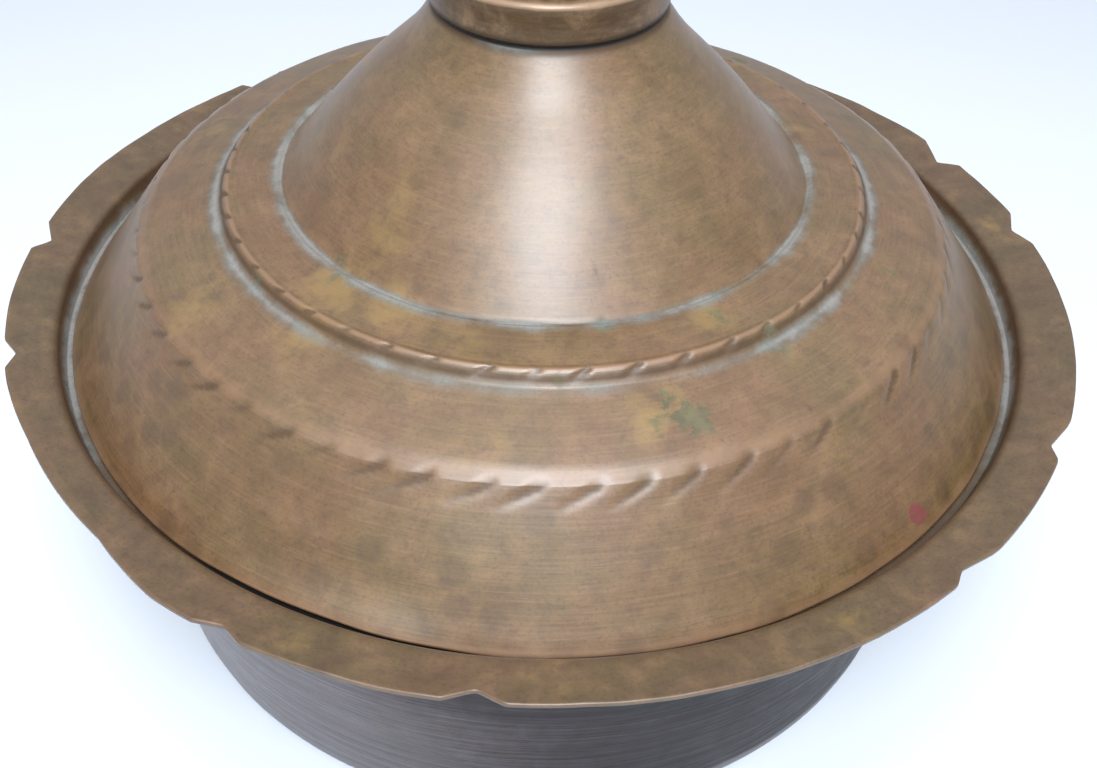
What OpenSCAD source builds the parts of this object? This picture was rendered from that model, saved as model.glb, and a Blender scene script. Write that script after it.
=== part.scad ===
// Tagine pot in sheet copper: a flat-bottomed dish with a scalloped flange, and a stepped conical lid
// that sits on a ledge inside the flange. A stud through the crown of the lid holds the finial.
// Millimetres, +Z up, origin at the centre of the dish's resting face.

/* [Dish] */
// Diameter over the scalloped flange
flange_d = 360; // [300:5:440]
// Height of the flange's outer edge above the table
dish_h = 119.5; // [90:0.5:150]
// Diameter of the flat base
base_d = 291; // [240:1:330]
// Thickness of the dish's sheet
dish_t = 1.2; // [0.8:0.1:2]
// Radius between the base and the wall
base_round = 5; // [3:0.5:12]
// Width of the flange from its inner edge to the rim
flange_w = 15; // [10:0.5:20]
// How much the flange rises towards the rim
flange_rise = 3.4; // [1:0.2:6]
// How far the step between the ledge and the flange leans outwards
step_run = 1.6; // [1:0.2:6]
// Width of the ledge that carries the lid
ledge_w = 6.6; // [5:0.2:10]
// Depth of the ledge's top below the rim
ledge_drop = 11.3; // [8:0.1:16]

/* [Scallops] */
// Turn of the whole row of lobes about the axis
lobe_turn = 0; // [-30:1:30]
// Depth of a notch
notch_depth = 5.5; // [3:0.5:8]
// Width of a notch at the rim
notch_w = 22; // [12:1:28]

/* [Lid] */
// Thickness of the lid's sheet
lid_t = 1; // [0.8:0.1:1.6]
// Gap between the lid's edge and the foot of the step
lid_play = 3.3; // [1:0.1:4]
// Gap left between the lid's edge and the ledge
seat_gap = 0.3; // [0.2:0.1:0.6]
// Skirt: how far it runs in, and how far it rises
skirt_run = 27.7; // [20:0.1:34]
skirt_rise = 36.6; // [28:0.1:46]
// Lower terrace: width and rise
low_terrace_w = 25.8; // [18:0.1:30]
low_terrace_rise = 8.8; // [4:0.1:12]
// Riser between the terraces, with its bead
riser_run = 2.8; // [1:0.1:5]
riser_rise = 3.4; // [2:0.1:8]
// Upper terrace: width and rise
high_terrace_w = 20; // [14:0.1:26]
high_terrace_rise = 2.4; // [1:0.1:6]
// Height from the upper terrace's inner edge to the crown
cone_h = 59.8; // [46:0.1:74]
// How far the cone bulges beyond a straight side
cone_belly = 1.9; // [0:0.1:4]
// Hollow curve below the collar: how far out and how far down it starts
hollow_run = 8; // [5:0.1:12]
hollow_drop = 15.8; // [12:0.1:20]

/* [Finial] */
// Diameter of the collar at its foot
collar_d = 72; // [60:0.5:84]
// Extra diameter of the collar at its top edge
collar_flare = 2.4; // [0:0.2:6]
// Height of the collar's side
collar_h = 11.6; // [9:0.1:16]
// Rise of the collar's top from its edge to the stem
collar_dome = 3; // [1:0.1:6]
// Thickness of the sheet of the collar and the knob
finial_t = 1.5; // [1:0.1:2]
// Diameter of the stem's foot
stem_d = 26; // [20:0.5:32]
// Diameter of the stem's waist
waist_d = 15; // [12:0.5:18]
// Height of the stem
stem_h = 13; // [9:0.5:20]
// Diameter of the knob
knob_d = 46; // [38:0.5:56]
// Height of the knob
knob_h = 37; // [30:0.5:46]
// Diameter of the tip's ball
tip_d = 13; // [10.5:0.5:18]
// Height of the tip above the knob
tip_h = 17; // [14:0.5:24]
// Wall round the stud at the tip's narrowest place
tip_wall = 1.4; // [1:0.1:2]

/* [Fixings] */
// Diameter of the stud through the finial
stud_d = 6; // [5:0.5:8]
// Radial clearance of the stud in the drilled pieces
stud_clear = 0.25; // [0.15:0.05:0.5]
// Radial clearance of the stud in its threads
thread_clear = 0.05; // [0.03:0.01:0.1]
// Clearance between pieces that are soldered or clamped
joint_gap = 0.1; // [0.05:0.05:0.3]
// Width across the flats of the square nut
nut_w = 12; // [10:0.5:16]
// Thickness of the nut
nut_t = 5; // [4:0.5:8]
// Diameter of the washer
washer_d = 22; // [18:0.5:30]
// Thickness of the washer
washer_t = 1.6; // [1:0.1:3]

/* [Hidden] */
$fn = 96;
copper = [0.55, 0.42, 0.31];
dark_copper = [0.42, 0.31, 0.22];
worn_brass = [0.62, 0.50, 0.30];

arc_steps = 6;
sharp = 0;

// Narrow lobes of the hand-cut rim: where each one's middle is, and how wide it is between its two
// notches, both in degrees from the front. The wide lobes lie between them.
narrow_lobes = [[-15, 22], [50, 20], [106, 16], [155, 17], [217, 17], [279, 20]];

// Dish: radii of the step and the ledge, from the rim inwards
rim_r = flange_d / 2;
flange_in_r = rim_r - flange_w;
step_r = flange_in_r - step_run;
wall_top_r = step_r - ledge_w;
seat_z = dish_h - ledge_drop;

// Lid: each turn of the sheet, from the edge inwards
lid_edge_r = step_r - lid_play;
lid_z = seat_z + seat_gap;
lid_edge_z = lid_z + lid_t * skirt_run / norm([skirt_run, skirt_rise]);
ridge_r = lid_edge_r - skirt_run;
ridge_z = lid_z + skirt_rise;
valley_r = ridge_r - low_terrace_w;
valley_z = ridge_z + low_terrace_rise;
bead_r = valley_r - riser_run;
bead_z = valley_z + riser_rise;
cone_r = bead_r - high_terrace_w;
cone_z = bead_z + high_terrace_rise;
crown_z = cone_z + cone_h;

// Collar and the neck of the lid that it drops over
collar_r = collar_d / 2;
neck_r = collar_r - finial_t - 2 * joint_gap;
neck_h = 3.6;
collar_z = crown_z - neck_h;
collar_top_z = collar_z + collar_h;
stem_z = collar_top_z + collar_dome;
stem_r = stem_d / 2;
spigot_r = stud_d / 2 + 3.5;

// Knob and tip
knob_z = stem_z + stem_h;
knob_r = knob_d / 2;
knob_top_z = knob_z + knob_h;
knob_mid_z = knob_z + 0.52 * knob_h;
tip_spigot_r = stud_d / 2 + 2;

// Fixings under the crown
washer_z = crown_z - lid_t - joint_gap - washer_t;
nut_z = washer_z - joint_gap - nut_t;
stud_z = nut_z - 2;
stud_top_z = knob_top_z + tip_h / 2;

function unit(v) = v / norm(v);
function left(v) = [-v[1], v[0]];
function wrap(a) = a > 180 ? a - 360 : a < -180 ? a + 360 : a;
function flip(p) = [for (i = [len(p) - 1:-1:0]) p[i]];

// Corner b between a and c, rounded to radius r
function corner(a, b, c, r) = r <= sharp ? [b] :
    let (u = unit(a - b), v = unit(c - b), half = acos(u * v) / 2,
         o = b + unit(u + v) * r / sin(half),
         s = b + u * r / tan(half) - o, e = b + v * r / tan(half) - o,
         from = atan2(s[1], s[0]), turn = wrap(atan2(e[1], e[0]) - from))
    [for (i = [0:arc_steps]) o + r * [cos(from + turn * i / arc_steps), sin(from + turn * i / arc_steps)]];

// Path through points [x, y], with a rounding radius for each point
function rounded(p, r) = concat([p[0]],
    [for (i = [1:len(p) - 2]) each corner(p[i - 1], p[i], p[i + 1], r[i])], [p[len(p) - 1]]);

// Outline of a sheet of thickness t whose outer side is the path p
function mitre(a, b, c) = let (m = unit(left(unit(b - a)) + left(unit(c - b)))) m / (m * left(unit(b - a)));
function inner(p, t) = [for (i = [0:len(p) - 1])
    i == 0 ? p[0] + t * left(unit(p[1] - p[0])) :
    i == len(p) - 1 ? p[i] + t * left(unit(p[i] - p[i - 1])) :
    p[i] + t * mitre(p[i - 1], p[i], p[i + 1])];
function sheet(p, t) = concat(p, flip(inner(p, t)));

function along(a, b, share) = a + (b - a) * share;

// One notch in the rim, pointing inwards along +X
notch_steps = 8;
function notch_side(s) = [for (i = [1:notch_steps]) let (t = i / notch_steps)
    [rim_r - notch_depth * pow(1 - t, 1.7), s * t * notch_w / 2]];
function notch() = concat([[rim_r - notch_depth, 0]], notch_side(1),
    [[rim_r + 1, notch_w / 2], [rim_r + 1, -notch_w / 2]], flip(notch_side(-1)));

module rim_notches() {
    for (lobe = narrow_lobes, side = [-1, 1])
        rotate(lobe_turn - 90 + lobe[0] + side * lobe[1] / 2)
            translate([0, 0, seat_z])
                linear_extrude(2 * ledge_drop)
                    polygon(notch());
}

module dish() {
    under = rounded(
        [[0, 0], [base_d / 2, 0], [wall_top_r, seat_z - dish_t], [step_r, seat_z - dish_t],
         [flange_in_r, dish_h - flange_rise - dish_t], [rim_r, dish_h - dish_t]],
        [sharp, base_round, 2.5, 1, 2.5, sharp]);
    color(copper) difference() {
        rotate_extrude() polygon(sheet(under, dish_t));
        rim_notches();
    }
}

// Outer side of the lid from its edge to the middle of the crown
cone_foot = [cone_r, cone_z];
hollow = [neck_r + hollow_run, crown_z - hollow_drop];
side = unit(hollow - cone_foot);
belly = along(cone_foot, hollow, 0.5) - cone_belly * left(side);
lid_outer = rounded(
    [[lid_edge_r, lid_edge_z], [ridge_r, ridge_z], [valley_r, valley_z], [bead_r, bead_z], cone_foot, belly,
     hollow, [neck_r, collar_z - 0.4], [neck_r, crown_z], [0, crown_z]],
    [sharp, 3.5, 2.5, 1.8, 4, 150, 50, 5, 2, sharp]);

module lid() {
    color(copper) difference() {
        rotate_extrude() polygon(sheet(lid_outer, lid_t));
        translate([0, 0, crown_z - 2 * lid_t])
            cylinder(h = 3 * lid_t, r = stud_d / 2 + stud_clear);
    }
}

module collar() {
    outer = rounded(
        [[collar_r, collar_z], [collar_r + collar_flare / 2, collar_top_z], [stem_r, stem_z],
         [spigot_r + joint_gap, stem_z]],
        [sharp, 2.4, 1.5, sharp]);
    color(dark_copper) rotate_extrude() polygon(sheet(outer, finial_t));
}

// The stem's foot stands on the collar, and its spigots reach the crown below and into the knob above
module knob_stem() {
    spigot_up = finial_t;
    outline = rounded(
        [[spigot_r, crown_z + joint_gap], [spigot_r, stem_z + joint_gap], [stem_r, stem_z + joint_gap],
         [stem_r, stem_z + 3], [waist_d / 2, stem_z + 0.45 * stem_h],
         [stem_r - 3, knob_z - 2.5], [stem_r - 3, knob_z - joint_gap], [tip_spigot_r, knob_z - joint_gap],
         [tip_spigot_r, knob_z + spigot_up]],
        [sharp, sharp, 1, 1.2, 4, 1, sharp, sharp, sharp]);
    bore_r = stud_d / 2 + stud_clear;
    color(worn_brass) rotate_extrude() polygon(concat(outline,
        [[bore_r, knob_z + spigot_up], [bore_r, crown_z + joint_gap]]));
}

// Each half of the knob is a quarter of an ellipse turned about the axis, and bored at its pole
knob_steps = 14;
function knob_quarter(pole_z, inset) =
    let (r = knob_r - inset, full = (pole_z - knob_mid_z) / sqrt(1 - pow(tip_spigot_r / knob_r, 2)),
         h = full - sign(full) * inset)
    [for (i = [0:knob_steps]) [r * cos(90 * i / knob_steps), knob_mid_z + h * sin(90 * i / knob_steps)]];

module knob_shell(pole_z) {
    color(copper) difference() {
        rotate_extrude() polygon(concat(knob_quarter(pole_z, 0), flip(knob_quarter(pole_z, finial_t))));
        translate([0, 0, knob_z - 2]) cylinder(h = knob_h + 4, r = tip_spigot_r + joint_gap);
    }
}

module knob_lower() {
    knob_shell(knob_z);
}

module knob_upper() {
    translate([0, 0, joint_gap]) knob_shell(knob_top_z);
}

module knob_tip() {
    foot_z = knob_top_z + 2 * joint_gap;
    ball_z = foot_z + 0.52 * tip_h;
    outline = rounded(
        [[tip_spigot_r, knob_top_z - finial_t], [tip_spigot_r, foot_z], [tip_d / 2 + 1, foot_z],
         [tip_d / 2 + 1, foot_z + 1.5], [stud_d / 2 + tip_wall, foot_z + 3], [tip_d / 2 + 1, ball_z],
         [0, foot_z + tip_h]],
        [sharp, sharp, 0.5, 0.5, 1, 5, sharp]);
    bore_r = stud_d / 2 + thread_clear;
    bore_top_z = stud_top_z + 1;
    color(worn_brass) rotate_extrude() polygon(concat(outline,
        [[0, bore_top_z], [bore_r, bore_top_z], [bore_r, knob_top_z - finial_t]]));
}

module stud() {
    color(worn_brass) translate([0, 0, stud_z]) cylinder(h = stud_top_z - stud_z, d = stud_d);
}

module crown_washer() {
    color(worn_brass) translate([0, 0, washer_z]) difference() {
        cylinder(h = washer_t, d = washer_d);
        translate([0, 0, -1]) cylinder(h = washer_t + 2, r = stud_d / 2 + stud_clear);
    }
}

module stud_nut() {
    color(worn_brass) translate([0, 0, nut_z]) difference() {
        intersection() {
            translate([-nut_w / 2, -nut_w / 2, 0]) cube([nut_w, nut_w, nut_t]);
            cylinder(h = nut_t, d = 1.3 * nut_w);
        }
        translate([0, 0, -1]) cylinder(h = nut_t + 2, r = stud_d / 2 + thread_clear);
    }
}

dish();
lid();
collar();
knob_stem();
knob_lower();
knob_upper();
knob_tip();
stud();
crown_washer();
stud_nut();
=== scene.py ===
# %% [markdown]
# # A copper tagine pot
# A flat-bottomed dish with a hand-cut, lobed flange, and a stepped conical lid that sits on a
# ledge inside the flange. Both are raised from copper sheet about a millimetre thick and were
# brushed with a wire wheel years ago, so the metal is brown, streaky and stained with verdigris
# where water stood. The engineering model comes first. It says where every piece is and how the
# lid lifts, and the lesson builds the looks around it: turned sheet pieces, hammered and nicked
# by moving vertices, and one copper finish painted from attributes that the pieces carry.
# %% Load the engineering model
import math
import random

import bmesh
import bpy
from mathutils import Matrix, Vector, noise


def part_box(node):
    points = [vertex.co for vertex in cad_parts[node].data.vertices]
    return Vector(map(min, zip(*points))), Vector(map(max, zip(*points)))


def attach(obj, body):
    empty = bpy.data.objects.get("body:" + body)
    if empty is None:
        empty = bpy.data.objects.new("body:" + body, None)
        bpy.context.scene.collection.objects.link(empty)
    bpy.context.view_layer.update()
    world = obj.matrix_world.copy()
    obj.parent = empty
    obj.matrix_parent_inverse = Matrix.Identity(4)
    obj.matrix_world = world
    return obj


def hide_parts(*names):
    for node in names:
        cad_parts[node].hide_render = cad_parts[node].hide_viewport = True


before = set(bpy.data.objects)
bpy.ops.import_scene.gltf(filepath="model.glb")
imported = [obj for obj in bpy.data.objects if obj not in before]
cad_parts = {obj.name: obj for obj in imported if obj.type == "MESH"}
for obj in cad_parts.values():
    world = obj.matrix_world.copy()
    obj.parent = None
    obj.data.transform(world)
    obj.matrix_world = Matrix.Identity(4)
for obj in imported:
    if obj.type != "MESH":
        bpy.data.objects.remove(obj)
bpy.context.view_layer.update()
MM = 0.001
print("pieces of the model:", sorted(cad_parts))

# %% [markdown]
# The camera stands above and in front of the pot and looks down at it, close enough for the
# flange to run almost out of the frame. It is set with three turns: a tilt, a small heading and a
# small roll, as when a camera is held in the hands.
# %% Set up the camera
HEADING = -0.6145
TILT = 47.49
ROLL = 1.829
EYE = (0, -0.3295, 0.3602)
FOCAL_MM, SENSOR_MM = 37.66, 36

lens = bpy.data.cameras.new("camera")
lens.lens = FOCAL_MM
lens.sensor_width = SENSOR_MM
camera = bpy.data.objects.new("camera", lens)
camera.matrix_world = (
    Matrix.Translation(EYE)
    @ Matrix.Rotation(math.radians(HEADING), 4, "Z")
    @ Matrix.Rotation(math.radians(TILT), 4, "X")
    @ Matrix.Rotation(math.radians(ROLL), 4, "Z")
)
bpy.context.scene.collection.objects.link(camera)
bpy.context.scene.camera = camera
print("camera is", round(camera.location.length, 3), "m from the middle of the base")

# %% [markdown]
# Sheet metal that was raised or spun is round, so its section says almost everything about it. A
# section is typed in as a few corners, each with a distance from the axis, a height and a radius.
# Bevelling the corner vertices of a wire rounds them, and `spin` turns the wire into the shell.
# Drawing the curve by hand would give the same shape, but a corner list is easy to measure and
# mend. The distance along the wire is kept on every vertex in a layer named "along", because
# brush lines and stains follow it.
# %% Draw a section and round its corners
ROUNDING_STEPS = 4
MERGE_MM = 0.01


def draw_section(corners, longest, fine=(), fine_edge=1.0):
    """A wire through corners (radius, height, rounding), all in mm, cut so no edge is over longest.
    Between two radii named in fine, no edge is over fine_edge."""
    section = bmesh.new()
    along = section.verts.layers.float.new("along")
    points = [section.verts.new((r * MM, 0, z * MM)) for r, z, _ in corners]
    for pair in zip(points, points[1:]):
        section.edges.new(pair)
    places = [point.co.copy() for point in points]
    for i in range(1, len(points) - 1):
        rounding = corners[i][2] * MM
        turn = (places[i] - places[i - 1]).angle(places[i + 1] - places[i])
        if rounding:
            bmesh.ops.bevel(
                section, geom=[points[i]], offset=rounding * math.tan(turn / 2),
                offset_type="OFFSET", segments=ROUNDING_STEPS, profile=0.5,
                affect="VERTICES", material=-1)
    for inner, outer in fine:
        for radius in (inner, outer):
            bmesh.ops.bisect_plane(section, geom=section.verts[:] + section.edges[:],
                                   plane_co=(radius * MM, 0, 0), plane_no=(1, 0, 0))
    for edge in section.edges[:]:
        radius = (edge.verts[0].co.x + edge.verts[1].co.x) / (2 * MM)
        most = fine_edge if any(a < radius < b for a, b in fine) else longest
        cuts = math.ceil(edge.calc_length() / (most * MM)) - 1
        if cuts > 0:
            bmesh.ops.subdivide_edges(section, edges=[edge], cuts=cuts)
    start = min((v for v in section.verts if len(v.link_edges) == 1),
                key=lambda v: (v.co - places[0]).length)
    run, here, last = 0.0, start, None
    while here:
        here[along] = run
        ahead = [e.other_vert(here) for e in here.link_edges if e.other_vert(here) is not last]
        last, here = here, ahead[0] if ahead else None
        if here:
            run += (here.co - last.co).length
    return section


# %% Turn a section into a shell
def turn_section(section, steps):
    """Turn a wire about the vertical axis into a shell whose faces point outwards."""
    bmesh.ops.spin(
        section, geom=section.verts[:] + section.edges[:], cent=(0, 0, 0), axis=(0, 0, 1),
        angle=2 * math.pi, steps=steps, use_merge=True)
    bmesh.ops.remove_doubles(section, verts=section.verts, dist=MERGE_MM * MM)
    bmesh.ops.recalc_face_normals(section, faces=section.faces)
    heights = [v.co.z for v in section.verts]
    middle = Vector((0, 0, (min(heights) + max(heights)) / 2))
    facing = sum(face.normal.dot(face.calc_center_median() - middle) * face.calc_area()
                 for face in section.faces)
    if facing < 0:
        bmesh.ops.reverse_faces(section, faces=section.faces)


print("a corner is rounded in", ROUNDING_STEPS, "steps")

# %% [markdown]
# Places on a round piece are easiest to name by a bearing: degrees round from the front, positive
# towards the right hand. A soft hump, full in the middle and nothing past its reach, is the brush
# for every dent and every stain.
# %% Bearings and soft humps
def bearing(place):
    return math.degrees(math.atan2(place.x, -place.y))


def apart(a, b):
    """The turn in degrees from bearing b to bearing a, the short way round."""
    return (a - b + 180) % 360 - 180


def hump(distance, reach):
    t = abs(distance) / reach
    return (1 - t * t) ** 2 if t < 1 else 0.0


def wander(place, size, seed=0.0):
    """Smooth noise between -1 and 1 with lumps about size mm across."""
    return noise.noise(place / (size * MM) + Vector((seed, 2 * seed, 3 * seed)))


print("a hump at half its reach:", hump(0.5, 1))

# %% [markdown]
# The lid is one sheet: a steep skirt, a ridge, a low terrace, a small riser with a bead, a high
# terrace, and a cone that narrows to a neck under the collar. Each ridge was set with a blunt
# chisel on its slant, which left a row of dents. Those dents need a finer mesh than the rest, so
# the two bands round the ridges are cut three times as fine before any vertex moves.
# %% Turn the lid
LID_STEPS = 288
LID_SHEET = 1.0
lid_section = [
    (160.1, 109.1, 0),
    (159.8, 109.5, 0),
    (132.8, 144.6, 1.4),
    (128.6, 147.3, 8),
    (106.4, 153.9, 2),
    (103.9, 157.2, 1.2),
    (102.9, 158.0, 1.2),
    (101.2, 157.6, 1.2),
    (87.3, 159.3, 1),
    (85.6, 158.3, 0.8),
    (84.1, 159.9, 1.5),
    (64.4, 183.0, 220),
    (42.3, 203.7, 50),
    (34.3, 215.5, 5),
    (34.3, 219.5, 2),
    (3.3, 219.5, 0),
]
RIDGE_R, BEAD_R, VALLEY_R, FOOT_R = 132.8, 102.9, 106.4, 85.6
NICKED = ((129.6, 137.6), (101.0, 105.6))
lid_mesh = draw_section(lid_section, longest=6.0, fine=NICKED, fine_edge=1.1)
print("points on the lid's section:", len(lid_mesh.verts))
turn_section(lid_mesh, LID_STEPS)


# %% Cut the bands round the ridges finer
def cut_band(mesh, inner, outer, lowest=0.0):
    """Cut every edge that runs round the axis between two radii into three. Rings that lie on the
    two radii themselves stay whole, whatever the rounding of their points."""
    ring = []
    nearest, farthest = (inner + MERGE_MM) * MM, (outer - MERGE_MM) * MM
    for edge in mesh.edges:
        a, b = (v.co for v in edge.verts)
        radius = a.to_2d().length
        level = abs(a.z - b.z) < 0.1 * MERGE_MM * MM
        if level and abs(radius - b.to_2d().length) < MERGE_MM * MM:
            if nearest < radius < farthest and a.z > lowest * MM:
                ring.append(edge)
    bmesh.ops.subdivide_edges(mesh, edges=ring, cuts=2, use_grid_fill=True, use_single_edge=True)


for inner, outer in NICKED:
    cut_band(lid_mesh, inner, outer)
print("lid faces before it gets its thickness:", len(lid_mesh.faces))

# %% [markdown]
# Now the hand work. A nick is a groove that crosses a ridge on a slant. On the ridge it is about
# five millimetres wide at its head and tapers down the skirt, and on the bead it is smaller. To
# find how deep a vertex lies in it, its place is measured from the nick's middle, round the ridge
# and up the sheet, and turned by the slant. A seeded generator varies each nick a little and
# gives the same lid every run.
# %% Choose where the nicks go
chisel = random.Random(11)


def row_of_nicks(every, ridge_r, depth, drop, slant, half_length, half_width):
    """A row of nicks: their bearings and depths vary, and their slant and size are shared."""
    count = round(360 / every)
    row = [(i * 360 / count + chisel.uniform(-0.6, 0.6), depth * chisel.uniform(0.6, 1.15))
           for i in range(count)]
    return row, ridge_r, drop, math.radians(slant), half_length, half_width


ridge_nicks = row_of_nicks(every=6.1, ridge_r=RIDGE_R, depth=0.52, drop=0.5, slant=30,
                           half_length=13.0, half_width=2.8)
bead_nicks = row_of_nicks(every=7.6, ridge_r=BEAD_R, depth=0.62, drop=0.2, slant=24,
                          half_length=6.0, half_width=1.6)
print("nicks on the ridge:", len(ridge_nicks[0]), "and on the bead:", len(bead_nicks[0]))

# %% Measure how deep a nick is
NICK_TURN = 6.5     # degrees: no nick reaches further round than this
NICK_HEAD = 0.28    # the head is this share of the tail's length
NICK_TAPER = 0.45
SKIRT_FROM, CONE_TO = 132, 84
SKIRT_RUN, TERRACE_RUN, CONE_RUN = 1.64, 1.05, 1.46


def sheet_run(radius):
    """How far one runs along the sheet of the lid for each mm towards the axis."""
    return SKIRT_RUN if radius > SKIRT_FROM else CONE_RUN if radius < CONE_TO else TERRACE_RUN


def nick_depth(place, nicks):
    """How deep in mm the nearest nick is at this place, and on which flank the place lies."""
    row, ridge_r, drop, slant, half_length, half_width = nicks
    here, radius = bearing(place), place.to_2d().length / MM
    up = (ridge_r - radius) * sheet_run(radius) + drop
    deepest, flank = 0.0, 0.0
    for middle, depth in row:
        turn = apart(here, middle)
        if abs(turn) < NICK_TURN:
            round_mm = math.radians(turn) * ridge_r
            lengthwise = round_mm * math.cos(slant) + up * math.sin(slant)
            across = up * math.cos(slant) - round_mm * math.sin(slant)
            reach = half_length if lengthwise < 0 else NICK_HEAD * half_length
            t = min(1.0, abs(lengthwise) / reach)
            deep = depth * (1 - t * t) * hump(across, half_width * (1 - NICK_TAPER * t))
            if deep > deepest:
                deepest, flank = deep, across
    return deepest, flank


RIDGE_FROM = 126
BEAD_FROM, BEAD_TO = 98, 108


def nearest_nick(place, radius):
    """Depth and flank of a nick at this place, on the ridge or on the bead."""
    if radius > RIDGE_FROM:
        return nick_depth(place, ridge_nicks)
    if BEAD_FROM < radius < BEAD_TO:
        return nick_depth(place, bead_nicks)
    return 0.0, 0.0


print("the sheet runs", TERRACE_RUN, "mm for each mm inwards on a terrace")

# %% [markdown]
# A hand-raised lid is never quite round. Its lower edge is a little wavy, it leans a third of a
# millimetre towards the front left and has sprung up there, the neck is drawn in on one side, and
# the whole sheet has slow, shallow lumps. Stains are painted in the same pass, on float layers of
# the mesh, and so are painted shade in grooves and gaps and painted highlights on crests: a value
# of one means that the finish will show the stain for certain.
# %% Places of the lid's stains
# Each spot: bearing, radius and reach in mm, strength.
verdigris_spots = [
    (18.6, 117.0, 8.0, 1.0), (20.8, 119.8, 7.0, 1.0), (17.4, 114.0, 6.0, 0.95),
    (14.8, 119.6, 5, 0.95), (19.2, 121.6, 4, 0.75), (66, 115.5, 6, 0.75), (62, 117, 4, 0.6),
    (-41.5, 89.6, 5, 0.8), (-38, 87, 4, 0.75), (-33, 90, 3, 0.6), (11.4, 87.5, 6, 0.75),
    (32, 94, 7, 0.6), (-69, 81.5, 4, 0.55), (-44, 83.5, 5, 0.7), (-60, 84, 5, 0.5),
    (-82, 107.3, 8, 0.55), (-52, 106.8, 8, 0.5), (37, 107.6, 10, 0.6), (3, 105.6, 6, 0.4),
    (140, 118, 7, 0.7), (-150, 90, 6, 0.6), (-118, 140, 5, 0.5), (165, 104, 8, 0.6),
]
ochre_spots = [
    (-40, 92, 17, 0.9), (-27, 90, 13, 0.8), (-38, 108, 14, 0.6), (14.6, 116.8, 10, 1.0),
    (18, 113.6, 9, 0.8), (13, 120.5, 7, 0.7), (30, 94, 11, 0.9), (-36, 76, 11, 0.7),
    (-36, 66, 8, 0.4), (-12, 96, 12, 0.45), (-5, 122, 9, 0.5), (-55, 125, 16, 0.5),
    (66, 116, 9, 0.5), (-9, 126, 8, 0.35), (150, 115, 16, 0.7), (-150, 92, 18, 0.8),
    (105, 90, 12, 0.5), (-105, 120, 15, 0.5),
]
dirt_spots = [
    (11, 76.8, 2.2, 0.7), (-20, 139, 2, 0.5), (-9, 141, 1.8, 0.6), (1, 143, 2.2, 0.5),
    (35, 128, 2, 0.6), (-37, 130, 7, 0.3), (21, 146, 1.8, 0.6), (-48, 148, 2, 0.6),
    (9, 137, 2.5, 0.4), (52, 118, 2, 0.6), (-30, 118, 2, 0.5), (130, 146, 3, 0.5),
]
RED_SPOT = (44.3, 156.0, 6.4, 1.0)


def spots_at(place, spots):
    """The strongest of the spots at this place."""
    here, radius = bearing(place), place.to_2d().length / MM
    best = 0.0
    for middle, spot_r, reach, strength in spots:
        round_mm = math.radians(apart(here, middle)) * spot_r
        up = (radius - spot_r) * sheet_run(radius)
        best = max(best, strength * hump(math.hypot(round_mm, up), reach))
    return best


print("spots to paint:", len(verdigris_spots) + len(ochre_spots) + len(dirt_spots))

# %% [markdown]
# Two functions share the work: one says where each vertex of the lid moves to, the other how it
# is painted. Both look at the place before the move, so the order of the vertices does not
# matter.
# %% Shape the lid
SPRUNG, SPRUNG_MM = -22, 2.8
LIP_Z, LIP_REACH = 109, 9
LEAN = Vector((-0.5, -0.87, 0))


def shape_lid(place, normal):
    """Where a point of the lid goes when it is worked by hand."""
    here, radius = bearing(place), place.to_2d().length / MM
    height = place.z / MM
    out = Vector((place.x, place.y, 0)).normalized()
    moved = place.copy()
    moved -= normal * nearest_nick(place, radius)[0] * MM
    skirt = max(0.0, min(1.0, (144 - height) / 35))
    moved += LEAN * 0.3 * MM * skirt ** 2
    lip = hump(max(0, height - LIP_Z), LIP_REACH)
    moved.z += lip * MM * (SPRUNG_MM * hump(apart(here, SPRUNG), 20)
                           + 0.35 * wander(Vector((out.x, out.y, 0)) * 0.4, 100, 3)
                           + 0.2)
    moved += out * lip * MM * 0.5 * wander(Vector((out.x, out.y, 0)) * 0.4, 60, 9)
    slow = 0.30 * wander(place, 34, 1) + 0.12 * wander(place, 13, 5)
    quiet = max(0.0, min(1.0, (214 - height) / 8)) * (1 - 0.6 * lip)
    moved += normal * slow * quiet * MM
    neck = hump(height - 203, 17)
    moved += out * neck * MM * (0.55 * hump(apart(here, 75), 60) - 0.8 * hump(apart(here, -75), 70))
    return moved


print("the lid has sprung up by about", SPRUNG_MM, "mm at bearing", SPRUNG)


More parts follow.
